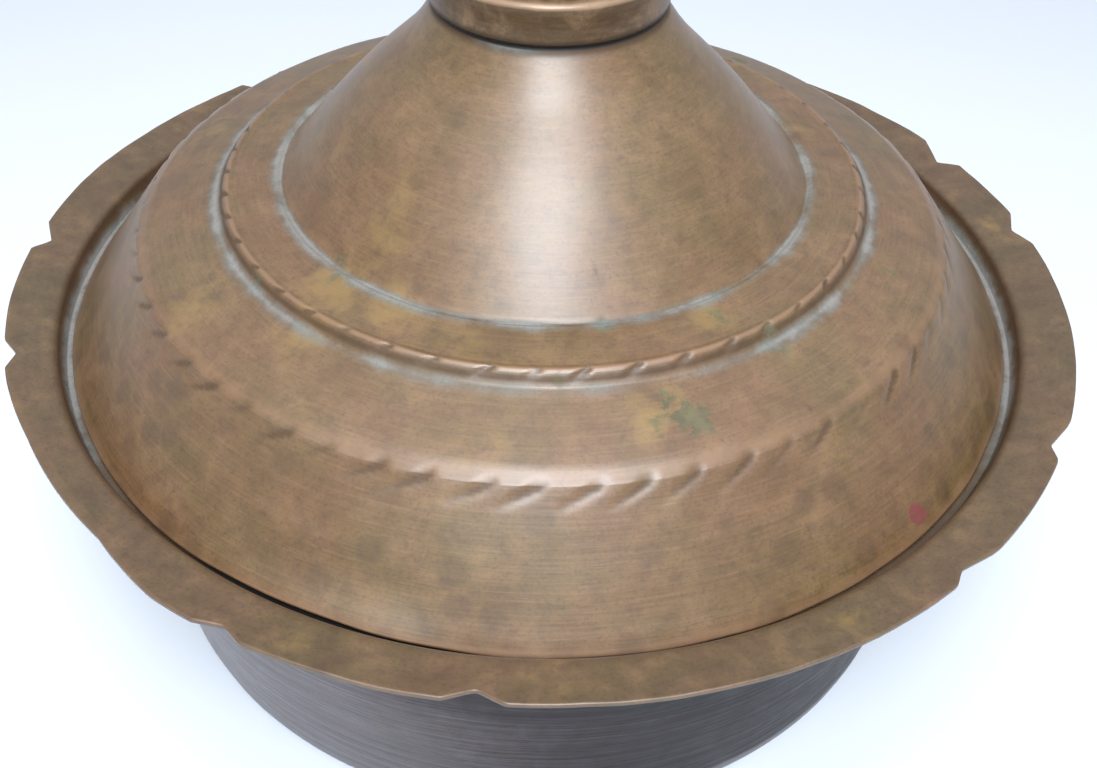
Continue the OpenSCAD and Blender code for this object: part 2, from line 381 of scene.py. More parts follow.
# %% Paint the lid
def paint_lid(place):
    """How strongly each stain sits at a point of the lid."""
    radius, height = place.to_2d().length / MM, place.z / MM
    patchy = 0.5 + 0.5 * wander(place, 16, 21)
    sides = 1 - hump(bearing(place), 45)
    groove = max((0.95 + 0.3 * sides) * hump(radius - VALLEY_R - 0.9, 3.4),
                 1.35 * hump(radius - FOOT_R - 0.9, 3.0))
    # The neck under the collar is darkened as painted shade.
    under_collar = min(1.0, 1.6 * hump(radius - 34.2, 1.9)) if 209 < height < 217 else 0.0
    teal = hump(apart(bearing(place), -20), 36)
    crust = max(groove * (0.25 + 0.85 * patchy), 1.2 * teal * hump(radius - 35.5, 0.8))
    verdigris = spots_at(place, verdigris_spots)
    edge = hump(max(0, height - LIP_Z), 3.0) if radius > 150 else 0.0
    deep, flank = nearest_nick(place, radius)
    if radius < BEAD_TO:
        crust = max(crust, 0.9 * deep * patchy)
    # The band inside the ridge's crest, the bead's crest and the flare at the cone's foot are
    # lightened as painted highlights, on top of rubbed wear at the crests and the lower edge.
    crest = max(0.55 * hump(radius - 130.8, 4.0), hump(radius - 103.0, 1.3))
    foot_flare = 0.8 * hump(radius - 83.0, 2.2)
    wear_and_highlight = max(crest, foot_flare, 0.8 * edge) * (1 - min(1, 1.5 * deep))
    # Dirt spots are real dirt. The nicks, darker on one flank, the groove at the cone's foot, the
    # riser under the bead and the neck under the collar are darkened as painted shade.
    dirt_and_shade = max(spots_at(place, dirt_spots), min(0.62, deep * (1.4 - 0.3 * flank)),
               0.4 * hump(radius - FOOT_R + 0.3, 0.9), 0.7 * hump(radius - 104.9, 1.6),
               under_collar)
    red = spots_at(place, [RED_SPOT])
    return crust, verdigris, spots_at(place, ochre_spots), wear_and_highlight, dirt_and_shade, red


PAINT_LAYERS = ("crust", "verdigris", "ochre", "wear_and_highlight", "dirt_and_shade", "red")


def work(mesh, shape, paint):
    """Paint every vertex of a piece, then move it to where handwork left it."""
    layers = [mesh.verts.layers.float.new(stain) for stain in PAINT_LAYERS]
    mesh.normal_update()
    moves = []
    for vert in mesh.verts:
        for layer, value in zip(layers, paint(vert.co)):
            vert[layer] = max(0.0, min(1.0, value))
        moves.append(shape(vert.co, vert.normal))
    for vert, place in zip(mesh.verts, moves):
        vert.co = place


work(lid_mesh, shape_lid, paint_lid)
print("lid worked by hand:", len(lid_mesh.verts), "points")

# %% [markdown]
# A shell gets its sheet thickness from the Solidify modifier. Nothing moves on the outer side,
# and the inner side follows every dent, as it does in real sheet. The same modifier shifts the
# inner side to other material slots, so the inside can be tinned while the outside stays bare
# copper.
# %% Make a piece from a worked mesh
SHARP_DEGREES = 50


def make_piece(mesh, name, body, replaces, sheet=0.0, inside=0):
    """An object that rides on a body and stands for a piece of the model. Sheet is in mm."""
    data = bpy.data.meshes.new(name)
    mesh.to_mesh(data)
    mesh.free()
    for polygon in data.polygons:
        polygon.use_smooth = True
    data.set_sharp_from_angle(angle=math.radians(SHARP_DEGREES))
    piece = bpy.data.objects.new(name, data)
    bpy.context.scene.collection.objects.link(piece)
    if sheet:
        shell = piece.modifiers.new("sheet", "SOLIDIFY")
        shell.thickness = sheet * MM
        shell.offset = -1
        shell.use_even_offset = True
        shell.use_quality_normals = True
        shell.material_offset = inside
    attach(piece, body)
    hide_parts(replaces)
    print(name, "has", len(data.polygons), "faces on its outer side")
    return piece


lid_piece = make_piece(lid_mesh, "lid_raised", "lid", "lid", LID_SHEET, inside=1)

# %% [markdown]
# The dish is turned from the section of its underside: base, wall, ledge, step and flange. The
# flange is cut finer than the rest, because its rim is not round.
# %% Turn the dish
DISH_STEPS = 500
DISH_SHEET = 1.2
dish_section = [
    (0, 0, 0),
    (145.5, 0, 5),
    (156.8, 107.0, 2.5),
    (163.4, 107.0, 1.6),
    (165.0, 114.9, 1.9),
    (179.4, 118.16, 0),
    (180.0, 118.3, 0),
]
FLANGE_IN, RIM_R = 166.5, 180.0
FLANGE_EDGE = 2.2
UPPER_Z = 100       # the ledge, the step and the flange lie above this height
dish_mesh = draw_section(dish_section, longest=6.5)
flange_edges = [e for e in dish_mesh.edges
                if min(v.co.x for v in e.verts) > (FLANGE_IN - 0.6) * MM]
for edge in flange_edges:
    cuts = math.ceil(edge.calc_length() / (FLANGE_EDGE * MM)) - 1
    if cuts > 0:
        bmesh.ops.subdivide_edges(dish_mesh, edges=[edge], cuts=cuts)
turn_section(dish_mesh, DISH_STEPS)
cut_band(dish_mesh, FLANGE_IN + 1.5, RIM_R + 1, lowest=UPPER_Z)
print("dish faces before it gets its thickness:", len(dish_mesh.faces))

# %% [markdown]
# The rim was cut by eye with snips into lobes of unequal width, so its outline is a list of what
# the maker did: the height of the rim at some bearings, and a notch between every two lobes with
# one steep side and one gentle side. Only the flange's own width is stretched or squeezed to meet
# the outline, and the step inside it stays round.
# %% Cut the lobes
# Height of the rim in mm at some bearings, with straight runs between them.
crowns = [
    (-180, -1.5), (-130, -2.3), (-108, 0), (-85, 0.3), (-74, -0.5), (-67, -0.9), (-58, -2.8),
    (-42, -3.4), (-33, 0.4), (-15, 0), (18, 0.8), (50, 0.7), (80, 1.2), (106, 0), (122, -0.4),
    (140, -2.0), (180, -1.5),
]
# Bearing, depth in mm, and reach in degrees on the side towards the left and towards the right.
rim_notches = [
    (-134.3, 7.0, 4.0, 1.8), (-91.2, 5.0, 3.3, 1.8), (-71.2, 3.5, 2.3, 2.3), (-26.2, 3.0, 2.6, 2.2),
    (-4.4, 4.0, 2.6, 2.4), (40.4, 3.2, 2.0, 4.5), (60.5, 4.0, 2.0, 4.5), (98.2, 4.0, 3.0, 3.0),
    (114.7, 5.6, 2.0, 4.5), (146.8, 3.6, 2.0, 4.0), (163, 4.0, 2.4, 3.4), (-152, 4.5, 2.6, 3.2),
]
RIM_MEAN = RIM_R - 0.4
PROUD = 0.55        # lobes that stand proud keep this share of their height


def rim_at(here):
    """Distance of the cut rim from the axis at a bearing, in mm."""
    rise = 0.0
    for (a, low), (b, high) in zip(crowns, crowns[1:]):
        if a <= here <= b:
            rise = low + (high - low) * (here - a) / (b - a)
    for middle, depth, left, right in rim_notches:
        turn = apart(here, middle)
        reach = left if turn < 0 else right
        rise -= depth * max(0.0, 1 - (math.hypot(turn, 0.25) - 0.1) / reach)
    return RIM_MEAN + (PROUD * rise if rise > 0 else rise)


print("rim at the front:", round(rim_at(0), 1), "mm; deepest notch:",
      round(min(rim_at(b / 2) for b in range(-360, 361)), 1), "mm")

# %% [markdown]
# The flange droops and waves a little between the hammer blows, and the step near the place where
# the lid has sprung up is dented inwards. The base stays flat, because the pot stands on it.
# %% Shape the dish
FLANGE_SLOPE = 3.4 / 15
BASE_TOP = 4


def shape_dish(place, normal):
    """Where a point of the dish goes when it is hammered and the rim is cut."""
    here, radius = bearing(place), place.to_2d().length / MM
    out = Vector((place.x, place.y, 0)).normalized()
    moved = place.copy()
    on_flange = radius > FLANGE_IN and place.z > UPPER_Z * MM
    if on_flange:
        share = (radius - FLANGE_IN) / (RIM_R - FLANGE_IN)
        shift = share * (rim_at(here) - RIM_R)
        moved += out * shift * MM
        moved.z += shift * FLANGE_SLOPE * MM
        ring = Vector((out.x, out.y, 0)) * 0.5
        droop = 0.5 * wander(ring, 70, 4) + 0.25 * wander(ring, 25, 8)
        moved.z += share * (droop - 0.5) * MM
    if radius > 160 and place.z > 110 * MM:
        moved -= out * 0.7 * MM * hump(apart(here, -32), 34) * hump(radius - 165.5, 9)
    if place.z > BASE_TOP * MM:
        flat = hump(max(0, place.z / MM - UPPER_Z), 9)
        slow = 0.35 * wander(place, 40, 2) + 0.12 * wander(place, 15, 6)
        moved += normal * slow * MM * (flat if not on_flange else 0.25)
    return moved


print("the flange rises", round(FLANGE_SLOPE, 2), "mm for each mm outwards")

# %% [markdown]
# Water stands where the step meets the ledge, so a pale crust grows there. The step, the ledge
# under the lid, the gap under the lid's sprung lip and the upper part of the wall under the flange
# are darkened as painted shade, the front of the wall also as a painted dark reflection, and the
# rim is rubbed bright.
# %% Paint the dish
dish_verdigris = [
    (60, 161.5, 4, 0.6), (-35, 166, 3, 0.4), (75, 172, 4, 0.35), (-120, 175, 4, 0.4),
]
dish_ochre = [
    (-130, 174, 10, 0.6), (28, 172, 10, 0.5), (100, 172, 12, 0.5), (-20, 174, 10, 0.4),
]


def paint_dish(place):
    """How strongly each stain sits at a point of the dish."""
    here, radius, height = bearing(place), place.to_2d().length / MM, place.z / MM
    patchy = 0.5 + 0.5 * wander(place, 14, 31)
    upper = height > UPPER_Z
    foot = hump(max(0, 160.0 - radius), 1.5) * hump(max(0, height - 109.6), 2.0) if upper else 0.0
    sides = max(hump(apart(here, -80), 42), hump(apart(here, 88), 44), hump(apart(here, 180), 60))
    crust = foot * (0.3 + 0.9 * sides) * (0.75 + 0.5 * patchy)
    verdigris = spots_at(place, dish_verdigris) if upper else 0.0
    share = (radius - rim_at(here)) if upper else -99
    wear_and_highlight = max(0.45 * hump(min(0, share), 1.2), 0.25 * hump(radius - 168.5, 2.5) if upper else 0.0)
    front_left = hump(apart(here, SPRUNG), 30)
    dirt_and_shade = 0.0
    if upper:
        # Painted shade: the step, the ledge under the lid's skirt, the gap under the sprung lip at
        # the front left and the foot of the step at the front are darkened.
        step = hump(height - 113.2, 2.6) if radius > 163 else 0.0
        under_lip = min(1.0, 1.6 * front_left * hump(radius - 160, 5))
        dirt_and_shade = max(0.65 * step, 0.5 * hump(radius - 158, 3), under_lip, 0.5 * foot * (1 - sides))
    elif height > 10:
        # Painted shade and a painted dark reflection: the wall darkens towards the flange above it
        # and towards bearing 30.
        dirt_and_shade = 0.5 * max(0.0, (height - 60) / 40) + 0.9 * hump(apart(here, 30), 75)
    ochre = spots_at(place, dish_ochre) if upper else 0.0
    return crust, verdigris, ochre, wear_and_highlight, dirt_and_shade, 0.0


work(dish_mesh, shape_dish, paint_dish)
print("dish worked by hand:", len(dish_mesh.verts), "points")

# %% [markdown]
# The dish shows three finishes: dark wall, brown flange and tinned inside. The wall's faces get
# the second slot, and the thickness moves every face of the inner side two slots further: the
# flange's top stays copper, and what lies behind the wall and the base is tin.
# %% Give the dish its slots and its thickness
INSIDE_R, INSIDE_Z = 157.5, 106.6
for face in dish_mesh.faces:
    middle = face.calc_center_median()
    if middle.z < INSIDE_Z * MM and middle.to_2d().length < INSIDE_R * MM:
        face.material_index = 1
dish_piece = make_piece(dish_mesh, "dish_raised", "dish", "dish", DISH_SHEET,
                        inside=2)

# %% [markdown]
# The collar hides the joint between the lid and the finial. It is a cap of thicker sheet with a
# soft, well rounded top edge, and it is made as the lid is, with fewer and gentler lumps.
# %% Turn the collar
COLLAR_SHEET = 1.5
collar_section = [
    (35.9, 215.9, 0),
    (36.1, 216.6, 0.4),
    (36.3, 221.0, 12),
    (37.3, 228.0, 1.8),
    (31.5, 229.2, 6),
    (13.0, 230.5, 1.5),
    (6.7, 230.5, 0),
]


def shape_gently(place, normal):
    """Shallow lumps, as thick sheet shows when it is tapped round."""
    return place + normal * (0.10 * wander(place, 12, 2)) * MM


def paint_collar(place):
    """Dirt and a trace of verdigris where the stem stands on the collar, near-black painted shade
    along its bottom edge over the cone, and a top edge lightened by rubbed wear and a painted
    highlight.
    """
    radius, height = place.to_2d().length / MM, place.z / MM
    # The top edge is lightened as rubbed wear and as a painted highlight.
    wear_and_highlight = 0.9 * hump(height - 227.6, 1.6) if radius > 33 else 0.0
    # The bottom edge over the cone is darkened to near-black as painted shade.
    dirt_and_shade = max(hump(height - 215.9, 2.5), 0.6 * hump(radius - 13, 3))
    verdigris = 0.55 * hump(radius - 13, 2.0) * (0.5 + 0.5 * wander(place, 5, 3))
    return verdigris, 0.0, 0.0, wear_and_highlight, dirt_and_shade, 0.0


collar_mesh = draw_section(collar_section, longest=2.4)
turn_section(collar_mesh, 180)
work(collar_mesh, shape_gently, paint_collar)
collar_piece = make_piece(collar_mesh, "collar_cap", "lid", "collar",
                          COLLAR_SHEET)

# %% [markdown]
# Three kinds of pieces stand on the collar, held by a brass stud: a turned stem, a hollow knob
# soldered from two raised halves, and a tip that screws on. The stem is a turned spool of brass
# with a bore. Its section starts and ends on the bore, and a bridge between the two ends closes
# it.
# %% Turn the stem
stem_section = [
    (3.3, 219.7, 0), (6.5, 219.7, 0), (6.5, 230.6, 0), (12.9, 230.6, 0.4), (13.0, 232.0, 0.8),
    (11.6, 232.6, 0.4), (11.9, 233.7, 0.8), (8.2, 235.2, 1.6), (7.4, 237.4, 3), (8.4, 239.8, 1.6),
    (9.9, 240.8, 0.5), (10.1, 242.2, 0.8), (9.6, 243.2, 0.4), (5.0, 243.4, 0), (5.0, 245.0, 0),
    (3.3, 245.0, 0),
]


def paint_turned(place):
    """Grooves of the brass pieces hold dirt and their rounds are rubbed bright."""
    radius = place.to_2d().length / MM
    wear_and_highlight = max(0.0, min(1.0, (radius - 6.8) / 3)) * 0.6
    return 0.0, 0.0, 0.25, wear_and_highlight, 0.8 * (1 - wear_and_highlight) * hump(radius - 7.5, 3.0), 0.0


def leave(place, normal):
    """A piece off the lathe stays as it was turned."""
    return place.copy()


stem_mesh = draw_section(stem_section, longest=1.6)
turn_section(stem_mesh, 96)
stem_ends = [e for e in stem_mesh.edges if e.is_boundary]
bmesh.ops.bridge_loops(stem_mesh, edges=stem_ends)
bmesh.ops.recalc_face_normals(stem_mesh, faces=stem_mesh.faces)
work(stem_mesh, leave, paint_turned)
stem_piece = make_piece(stem_mesh, "stem_turned", "lid", "knob_stem")

# %% [markdown]
# A hollow knob is raised in two cups that meet in a soldered seam. Each cup is a quarter of an
# ellipse turned about the axis and given the thickness of its sheet. Solder, dirt and the rubbed
# crown are painted by height.
# %% Raise the two halves of the knob
KNOB_R, KNOB_MID = 23.0, 262.74
KNOB_BORE, KNOB_SHEET = 5.1, 1.4
DOME_STEPS = 14


def dome(half, pole_z, top_bore):
    """Corners of half a knob: a quarter of an ellipse from the seam to a bored pole."""
    rise = (pole_z - KNOB_MID) / math.sqrt(1 - (top_bore / KNOB_R) ** 2)
    last = math.degrees(math.acos(top_bore / KNOB_R))
    steps = [last * i / DOME_STEPS for i in range(DOME_STEPS + 1)]
    seam = [(KNOB_R - 0.25, KNOB_MID + half * 0.02, 0), (KNOB_R, KNOB_MID + half * 0.35, 0)]
    curve = [(KNOB_R * math.cos(math.radians(a)), KNOB_MID + rise * math.sin(math.radians(a)), 0)
             for a in steps[1:]]
    return seam + curve


def paint_knob(place):
    """Solder on the seam, dirt at both ends and a crown rubbed bright by hands."""
    height = place.z / MM
    solder = hump(height - KNOB_MID, 0.9)
    wear_and_highlight = 0.7 * hump(height - 270, 12) * (0.6 + 0.4 * wander(place, 10, 4))
    dirt_and_shade = max(0.8 * hump(height - KNOB_MID, 1.1), hump(height - 243.6, 2.5),
               0.8 * hump(height - 280.4, 2.0))
    ochre = 0.5 * max(0.0, wander(place, 14, 12))
    return 0.5 * solder * (0.5 + 0.5 * wander(place, 4, 8)), 0.0, ochre, wear_and_highlight, dirt_and_shade, 0.0


def shape_knob(place, normal):
    """Faint marks of the raising hammer."""
    return place + normal * (0.12 * wander(place, 9, 2)) * MM


knob_halves = []
for name, node, half, pole_z in (("knob_under", "knob_lower", -1, 243.5),
                                 ("knob_over", "knob_upper", 1, 280.5)):
    half_mesh = draw_section(dome(half, pole_z, KNOB_BORE), longest=2.2)
    turn_section(half_mesh, 144)
    work(half_mesh, shape_knob, paint_knob)
    knob_halves.append(make_piece(half_mesh, name, "lid", node, KNOB_SHEET))

# %% [markdown]
# The tip is a turned bud that is screwed on the stud. It is solid to the eye, so its lower end is
# closed with one face inside the knob.
# %% Turn the tip
tip_section = [
    (5.0, 279.0, 0), (5.0, 280.7, 0), (7.3, 280.7, 0.4), (7.5, 281.6, 0.6), (6.8, 282.4, 0.5),
    (4.5, 283.4, 1.2), (4.5, 284.6, 0.8), (7.3, 287.6, 3), (7.0, 292.6, 3.5), (3.2, 296.6, 2),
    (0, 297.6, 0),
]
tip_mesh = draw_section(tip_section, longest=1.2)
turn_section(tip_mesh, 80)
bmesh.ops.holes_fill(tip_mesh, edges=[e for e in tip_mesh.edges if e.is_boundary], sides=0)
bmesh.ops.recalc_face_normals(tip_mesh, faces=tip_mesh.faces)
work(tip_mesh, leave, paint_turned)
tip_piece = make_piece(tip_mesh, "tip_turned", "lid", "knob_tip")

# %% [markdown]
# Under the crown a square nut and a washer pull the finial tight. A filed nut is not a plain
# block: its corners are chamfered where a cone would cut them. It starts as a round, bored blank
# built of six rings, and four bisecting planes then cut its flats, which is how a file would do
# it.
# %% Build the blank of the nut
NUT_SIDES, NUT_BORE, NUT_ROUND, NUT_HALF_HIGH = 32, 3.05, 8.6, 2.5
NUT_CHAMFER = ((NUT_BORE, 0.0), (5.0, 0.0), (7.4, 0.8), (NUT_ROUND, 1.6))
nut_mesh = bmesh.new()
nut_mesh.verts.layers.float.new("along")    # the finish reads it on every piece


def nut_ring(radius, height):
    """A ring of the blank, radius and height in mm."""
    ring = bmesh.ops.create_circle(nut_mesh, segments=NUT_SIDES, radius=radius * MM)["verts"]
    bmesh.ops.translate(nut_mesh, verts=ring, vec=(0, 0, height * MM))


nut_ring(NUT_BORE, -NUT_HALF_HIGH)
for ring_r, drop in NUT_CHAMFER:
    nut_ring(ring_r, NUT_HALF_HIGH - drop)
nut_ring(NUT_ROUND, -NUT_HALF_HIGH)
nut_mesh.verts.index_update()
ring_count = len(nut_mesh.verts) // NUT_SIDES
rings = [[e for e in nut_mesh.edges if e.verts[0].index // NUT_SIDES == k]
         for k in range(ring_count)]
for k in range(ring_count):
    bmesh.ops.bridge_loops(nut_mesh, edges=rings[k] + rings[(k + 1) % ring_count])
print("rings of the blank:", ring_count)

# %% File its flats
NUT_LO, NUT_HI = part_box("stud_nut")
nut_half = (NUT_HI - NUT_LO) / 2
nut_middle = (NUT_HI + NUT_LO) / 2
for side in ((1, 0, 0), (-1, 0, 0), (0, 1, 0), (0, -1, 0)):
    cut = bmesh.ops.bisect_plane(
        nut_mesh, geom=nut_mesh.verts[:] + nut_mesh.edges[:] + nut_mesh.faces[:],
        plane_co=Vector(side) * nut_half.x, plane_no=side, clear_outer=True)
    flat = [e for e in cut["geom_cut"] if isinstance(e, bmesh.types.BMEdge)]
    bmesh.ops.edgeloop_fill(nut_mesh, edges=flat)
bmesh.ops.remove_doubles(nut_mesh, verts=nut_mesh.verts, dist=0.02 * MM)
bmesh.ops.recalc_face_normals(nut_mesh, faces=nut_mesh.faces)
bmesh.ops.translate(nut_mesh, verts=nut_mesh.verts, vec=nut_middle)
work(nut_mesh, leave, lambda place: (0.3, 0.3, 0.2, 0.3, 0.3, 0.0))
nut_piece = make_piece(nut_mesh, "nut_filed", "lid", "stud_nut")

# %% [markdown]
# Every finish is a small tree of nodes. These helpers add one node each and return its output, so
# a finish reads as a recipe. A value that changes over the surface comes in through a socket, and
# one that is the same everywhere is typed on the shader itself.
# %% Helpers for finishes
class Finish:
    """A material and short ways to add nodes to it."""

    def __init__(self, name):
        self.material = bpy.data.materials.new(name)
        self.material.use_nodes = True
        self.tree = self.material.node_tree
        self.shader = self.tree.nodes["Principled BSDF"]
        self.place = self.node("TexCoord").outputs["Object"]

    def node(self, kind, inputs=None, **settings):
        made = self.tree.nodes.new("ShaderNode" + kind)
        for key, value in settings.items():
            setattr(made, key, value)
        for key, value in (inputs or {}).items():
            if isinstance(value, bpy.types.NodeSocket):
                self.tree.links.new(value, made.inputs[key])
            else:
                made.inputs[key].default_value = value
        return made

    def maths(self, operation, a, b=0.0):
        return self.node("Math", {0: a, 1: b}, operation=operation).outputs[0]

    def plus(self, value, other, share):
        """A value and a share of another one."""
        return self.maths("ADD", value, self.maths("MULTIPLY", other, share))

    def vector(self, operation, a, b):
        return self.node("VectorMath", {0: a, 1: b}, operation=operation).outputs[0]

    def noise(self, scale, detail=3.0, rough=0.5, at=None, distortion=0.0):
        """Cloudy noise between 0 and 1. A scale of 100 gives lumps about a centimetre across."""
        return self.node("TexNoise", {
            "Vector": self.place if at is None else at, "Scale": scale, "Detail": detail,
            "Roughness": rough, "Distortion": distortion}).outputs[0]

    def spread(self, value, low, high, to_low=0.0, to_high=1.0):
        """Stretch the part of value between low and high, with soft ends."""
        return self.node("MapRange", {
            "Value": value, "From Min": low, "From Max": high, "To Min": to_low,
            "To Max": to_high}, interpolation_type="SMOOTHSTEP").outputs[0]

    def mix(self, share, a, b, blend="MIX"):
        """Mix two colours: share 0 gives a, share 1 gives b."""
        return self.node("Mix", {0: share, 6: a, 7: b}, data_type="RGBA",
                         blend_type=blend).outputs[2]

    def paint(self, name):
        """A stain that the piece carries on its vertices."""
        return self.node("Attribute", attribute_name=name).outputs["Fac"]

    def bump(self, height, depth_mm, under=None):
        inputs = {"Strength": 1.0, "Distance": depth_mm * MM, "Height": height}
        if under is not None:
            inputs["Normal"] = under
        return self.node("Bump", inputs).outputs[0]

    def lines_round(self, turns, per_mm):
        """A place stretched round the axis, in which noise makes brush lines."""
        level = self.vector("MULTIPLY", self.place, (1, 1, 0))
        round_axis = self.vector("NORMALIZE", level, (0, 0, 0))
        stretched = self.vector("MULTIPLY", round_axis, (turns, turns, 0))
        up = self.maths("MULTIPLY", self.paint("along"), per_mm / MM)
        lift = self.node("CombineXYZ", {2: up}).outputs[0]
        return self.vector("ADD", stretched, lift)

    def show(self, **inputs):
        """Feed values to the shader: a name such as base_color means the socket Base Color."""
        for name, value in inputs.items():
            socket = self.shader.inputs[name.replace("_", " ").title()]
            if isinstance(value, bpy.types.NodeSocket):
                self.tree.links.new(value, socket)
            else:
                socket.default_value = value


print("helpers ready")

# %% [markdown]
# Old copper is not one colour. Brown oxide lies over the pink metal in clouds, the wire brush
# scored it round and round, grooves are black-brown from grime and from painted shade, crests are
# pink again from rubbing and from painted highlights, and grease has dried to ochre. Verdigris is a
# crust: it is pale, rough and not metallic. The recipe mixes these from the large to the small, and
# the same six painted layers of stains, painted shade and painted highlights steer it on every
# copper piece. Its steps are one function each, and all of them share the same few noises.
# %% Colours of the stains and of painted shade
CRUST = (0.25, 0.236, 0.218, 1)
CRUST_TEAL = (0.155, 0.180, 0.170, 1)
CRUST_DEEP = (0.13, 0.115, 0.095, 1)
# A near-black painted shade for the deepest gaps.
SHADE_BLACK = (0.012, 0.010, 0.008, 1)
GREEN = (0.080, 0.082, 0.045, 1)
GREEN_PALE = (0.125, 0.118, 0.060, 1)
OCHRE = (0.27, 0.165, 0.042, 1)
RED = (0.165, 0.034, 0.033, 1)
print("stains on the copper:", ", ".join(PAINT_LAYERS))


# %% Noises, and the metal under the stains
def add_noises(finish):
    """Noises from the largest to the smallest, and brush lines that run round the axis."""
    finish.hills = finish.noise(28, 4, 0.6, distortion=0.2)
    finish.clouds = finish.noise(85, 4, 0.62, distortion=0.3)
    finish.lumps = finish.noise(190, 3, 0.6)
    finish.grain = finish.noise(1100, 2, 0.6)
    finish.strokes = finish.noise(1.0, 4, 0.62, at=finish.lines_round(5.0, 0.9))
    finish.hairs = finish.noise(1.0, 2, 0.5, at=finish.lines_round(14.0, 3.2))
    finish.bands = finish.noise(1.0, 2, 0.5, at=finish.lines_round(1.6, 0.30))


def tarnish(finish, brown, pink, olive, dark, brush):
    """Oxide in clouds over the metal, scored by the wire brush, and lighter on crests, where rubbed
    wear and painted highlights lie.
    """
    clouds = finish.clouds
    colour = finish.mix(finish.spread(finish.hills, 0.34, 0.66), brown, olive)
    colour = finish.mix(finish.spread(clouds, 0.42, 0.78, 0, 0.50), colour, pink)
    colour = finish.mix(finish.spread(clouds, 0.50, 0.24, 0, 0.35), colour, dark)
    colour = finish.mix(finish.spread(finish.strokes, 0.42, 0.75, 0, 0.40 * brush), colour, pink)
    colour = finish.mix(finish.spread(finish.hairs, 0.50, 0.22, 0, 0.38 * brush), colour, dark)
    colour = finish.mix(finish.spread(finish.grain, 0.52, 0.28, 0, 0.40), colour, dark)
    colour = finish.mix(finish.spread(finish.lumps, 0.52, 0.25, 0, 0.35), colour, dark)
    # Crests and rubbed edges turn pink: partly wear, partly painted highlights.
    rubbed_and_highlit = finish.spread(finish.plus(finish.paint("wear_and_highlight"), clouds, 0.5), 0.45, 1.15)
    return finish.mix(finish.maths("MULTIPLY", rubbed_and_highlit, 0.8), colour, pink)


# %% Grease, grime, painted shade and pits
def soil(finish, colour, dark):
    """Grease dried to ochre, grime and painted shade in the grooves and gaps, near-black painted
    shade in the deepest of them, and small pits.
    """
    ochre = finish.plus(finish.paint("ochre"), finish.clouds, 1.1)
    ochre = finish.plus(ochre, finish.lumps, 1.3)
    colour = finish.mix(finish.spread(ochre, 1.22, 2.15, 0, 0.62), colour, OCHRE)
    # The dirt layer carries real dirt and painted shade, and both darken the colour here.
    dirt_and_shade = finish.paint("dirt_and_shade")
    grime_and_shade = finish.spread(finish.plus(dirt_and_shade, finish.lumps, 0.35), 0.30, 1.05)
    colour = finish.mix(finish.maths("MULTIPLY", grime_and_shade, 0.92), colour, dark)
    # Where that layer is strongest the colour goes near-black: painted shade in the deepest gaps,
    # such as under the collar and under the lid's lip.
    colour = finish.mix(finish.spread(dirt_and_shade, 0.84, 0.98, 0, 0.92), colour, SHADE_BLACK)
    pits = finish.spread(finish.noise(520, 2, 0.7), 0.71, 0.80, 0, 0.5)
    return finish.mix(pits, colour, dark), grime_and_shade


def hammer_marks(finish, colour, dark):
    """Faint flats left by the hammer on the lower part of a skirt."""
    cells = finish.node("TexVoronoi", {"Vector": finish.place, "Scale": 74}).outputs[0]
    low = finish.spread(finish.paint("along"), 0.044, 0.036)
    flats = finish.maths("MULTIPLY", finish.spread(cells, 0.40, 0.22), low)
    return finish.mix(finish.maths("MULTIPLY", flats, 0.32), colour, dark), flats


# %% Verdigris, crust and the red spot
def corrode(finish, colour, crust):
    """Green blotches, the pale crust of the valleys and a red spot, and how much they cover."""
    lumps, clouds = finish.lumps, finish.clouds
    specks = finish.plus(finish.maths("MULTIPLY", lumps, 0.5), finish.noise(340, 4, 0.65), 0.5)
    green = finish.maths("MULTIPLY", finish.paint("verdigris"),
                         finish.spread(specks, 0.36, 0.56))
    green = finish.spread(green, 0.16, 0.55, 0, 0.80)
    hue = finish.mix(finish.spread(lumps, 0.45, 0.65), GREEN, GREEN_PALE)
    colour = finish.mix(green, colour, hue)
    crusted = finish.paint("crust")
    broken = finish.plus(finish.maths("MULTIPLY", clouds, 0.5), lumps, 0.5)
    pale = finish.spread(finish.plus(crusted, broken, 0.7), 0.60, 1.25, 0, 0.88 * crust)
    thick = finish.plus(crusted, lumps, 0.8)
    tint = finish.mix(finish.spread(clouds, 0.40, 0.62), CRUST_DEEP, CRUST_TEAL)
    tint = finish.mix(finish.spread(thick, 0.95, 1.45), tint, CRUST)
    tint = finish.mix(finish.spread(finish.grain, 0.5, 0.3, 0, 0.35), tint, CRUST_DEEP)
    colour = finish.mix(pale, colour, tint)
    red = finish.spread(finish.plus(finish.paint("red"), lumps, 0.6), 0.62, 0.80)
    colour = finish.mix(finish.maths("MULTIPLY", red, 0.85), colour, RED)
    covered = finish.maths("MAXIMUM", finish.maths("MAXIMUM", pale, green), red)
    return colour, pale, covered


# %% Relief of the surface
def relief(finish, brush, pale, flats=None):
    """Dents, brush lines and crust stand up or lie deep by fractions of a millimetre."""
    normal = finish.bump(finish.hills, 0.5)
    normal = finish.bump(finish.clouds, 0.10, normal)
    normal = finish.bump(finish.bands, 0.20 * brush, normal)
    normal = finish.bump(finish.strokes, 0.065 * brush, normal)
    normal = finish.bump(finish.grain, 0.008, normal)
    normal = finish.bump(finish.hairs, 0.012 * brush, normal)
    normal = finish.bump(pale, 0.25, normal)
    if flats is not None:
        normal = finish.bump(finish.maths("SUBTRACT", 1.0, flats), 0.05, normal)
    return normal


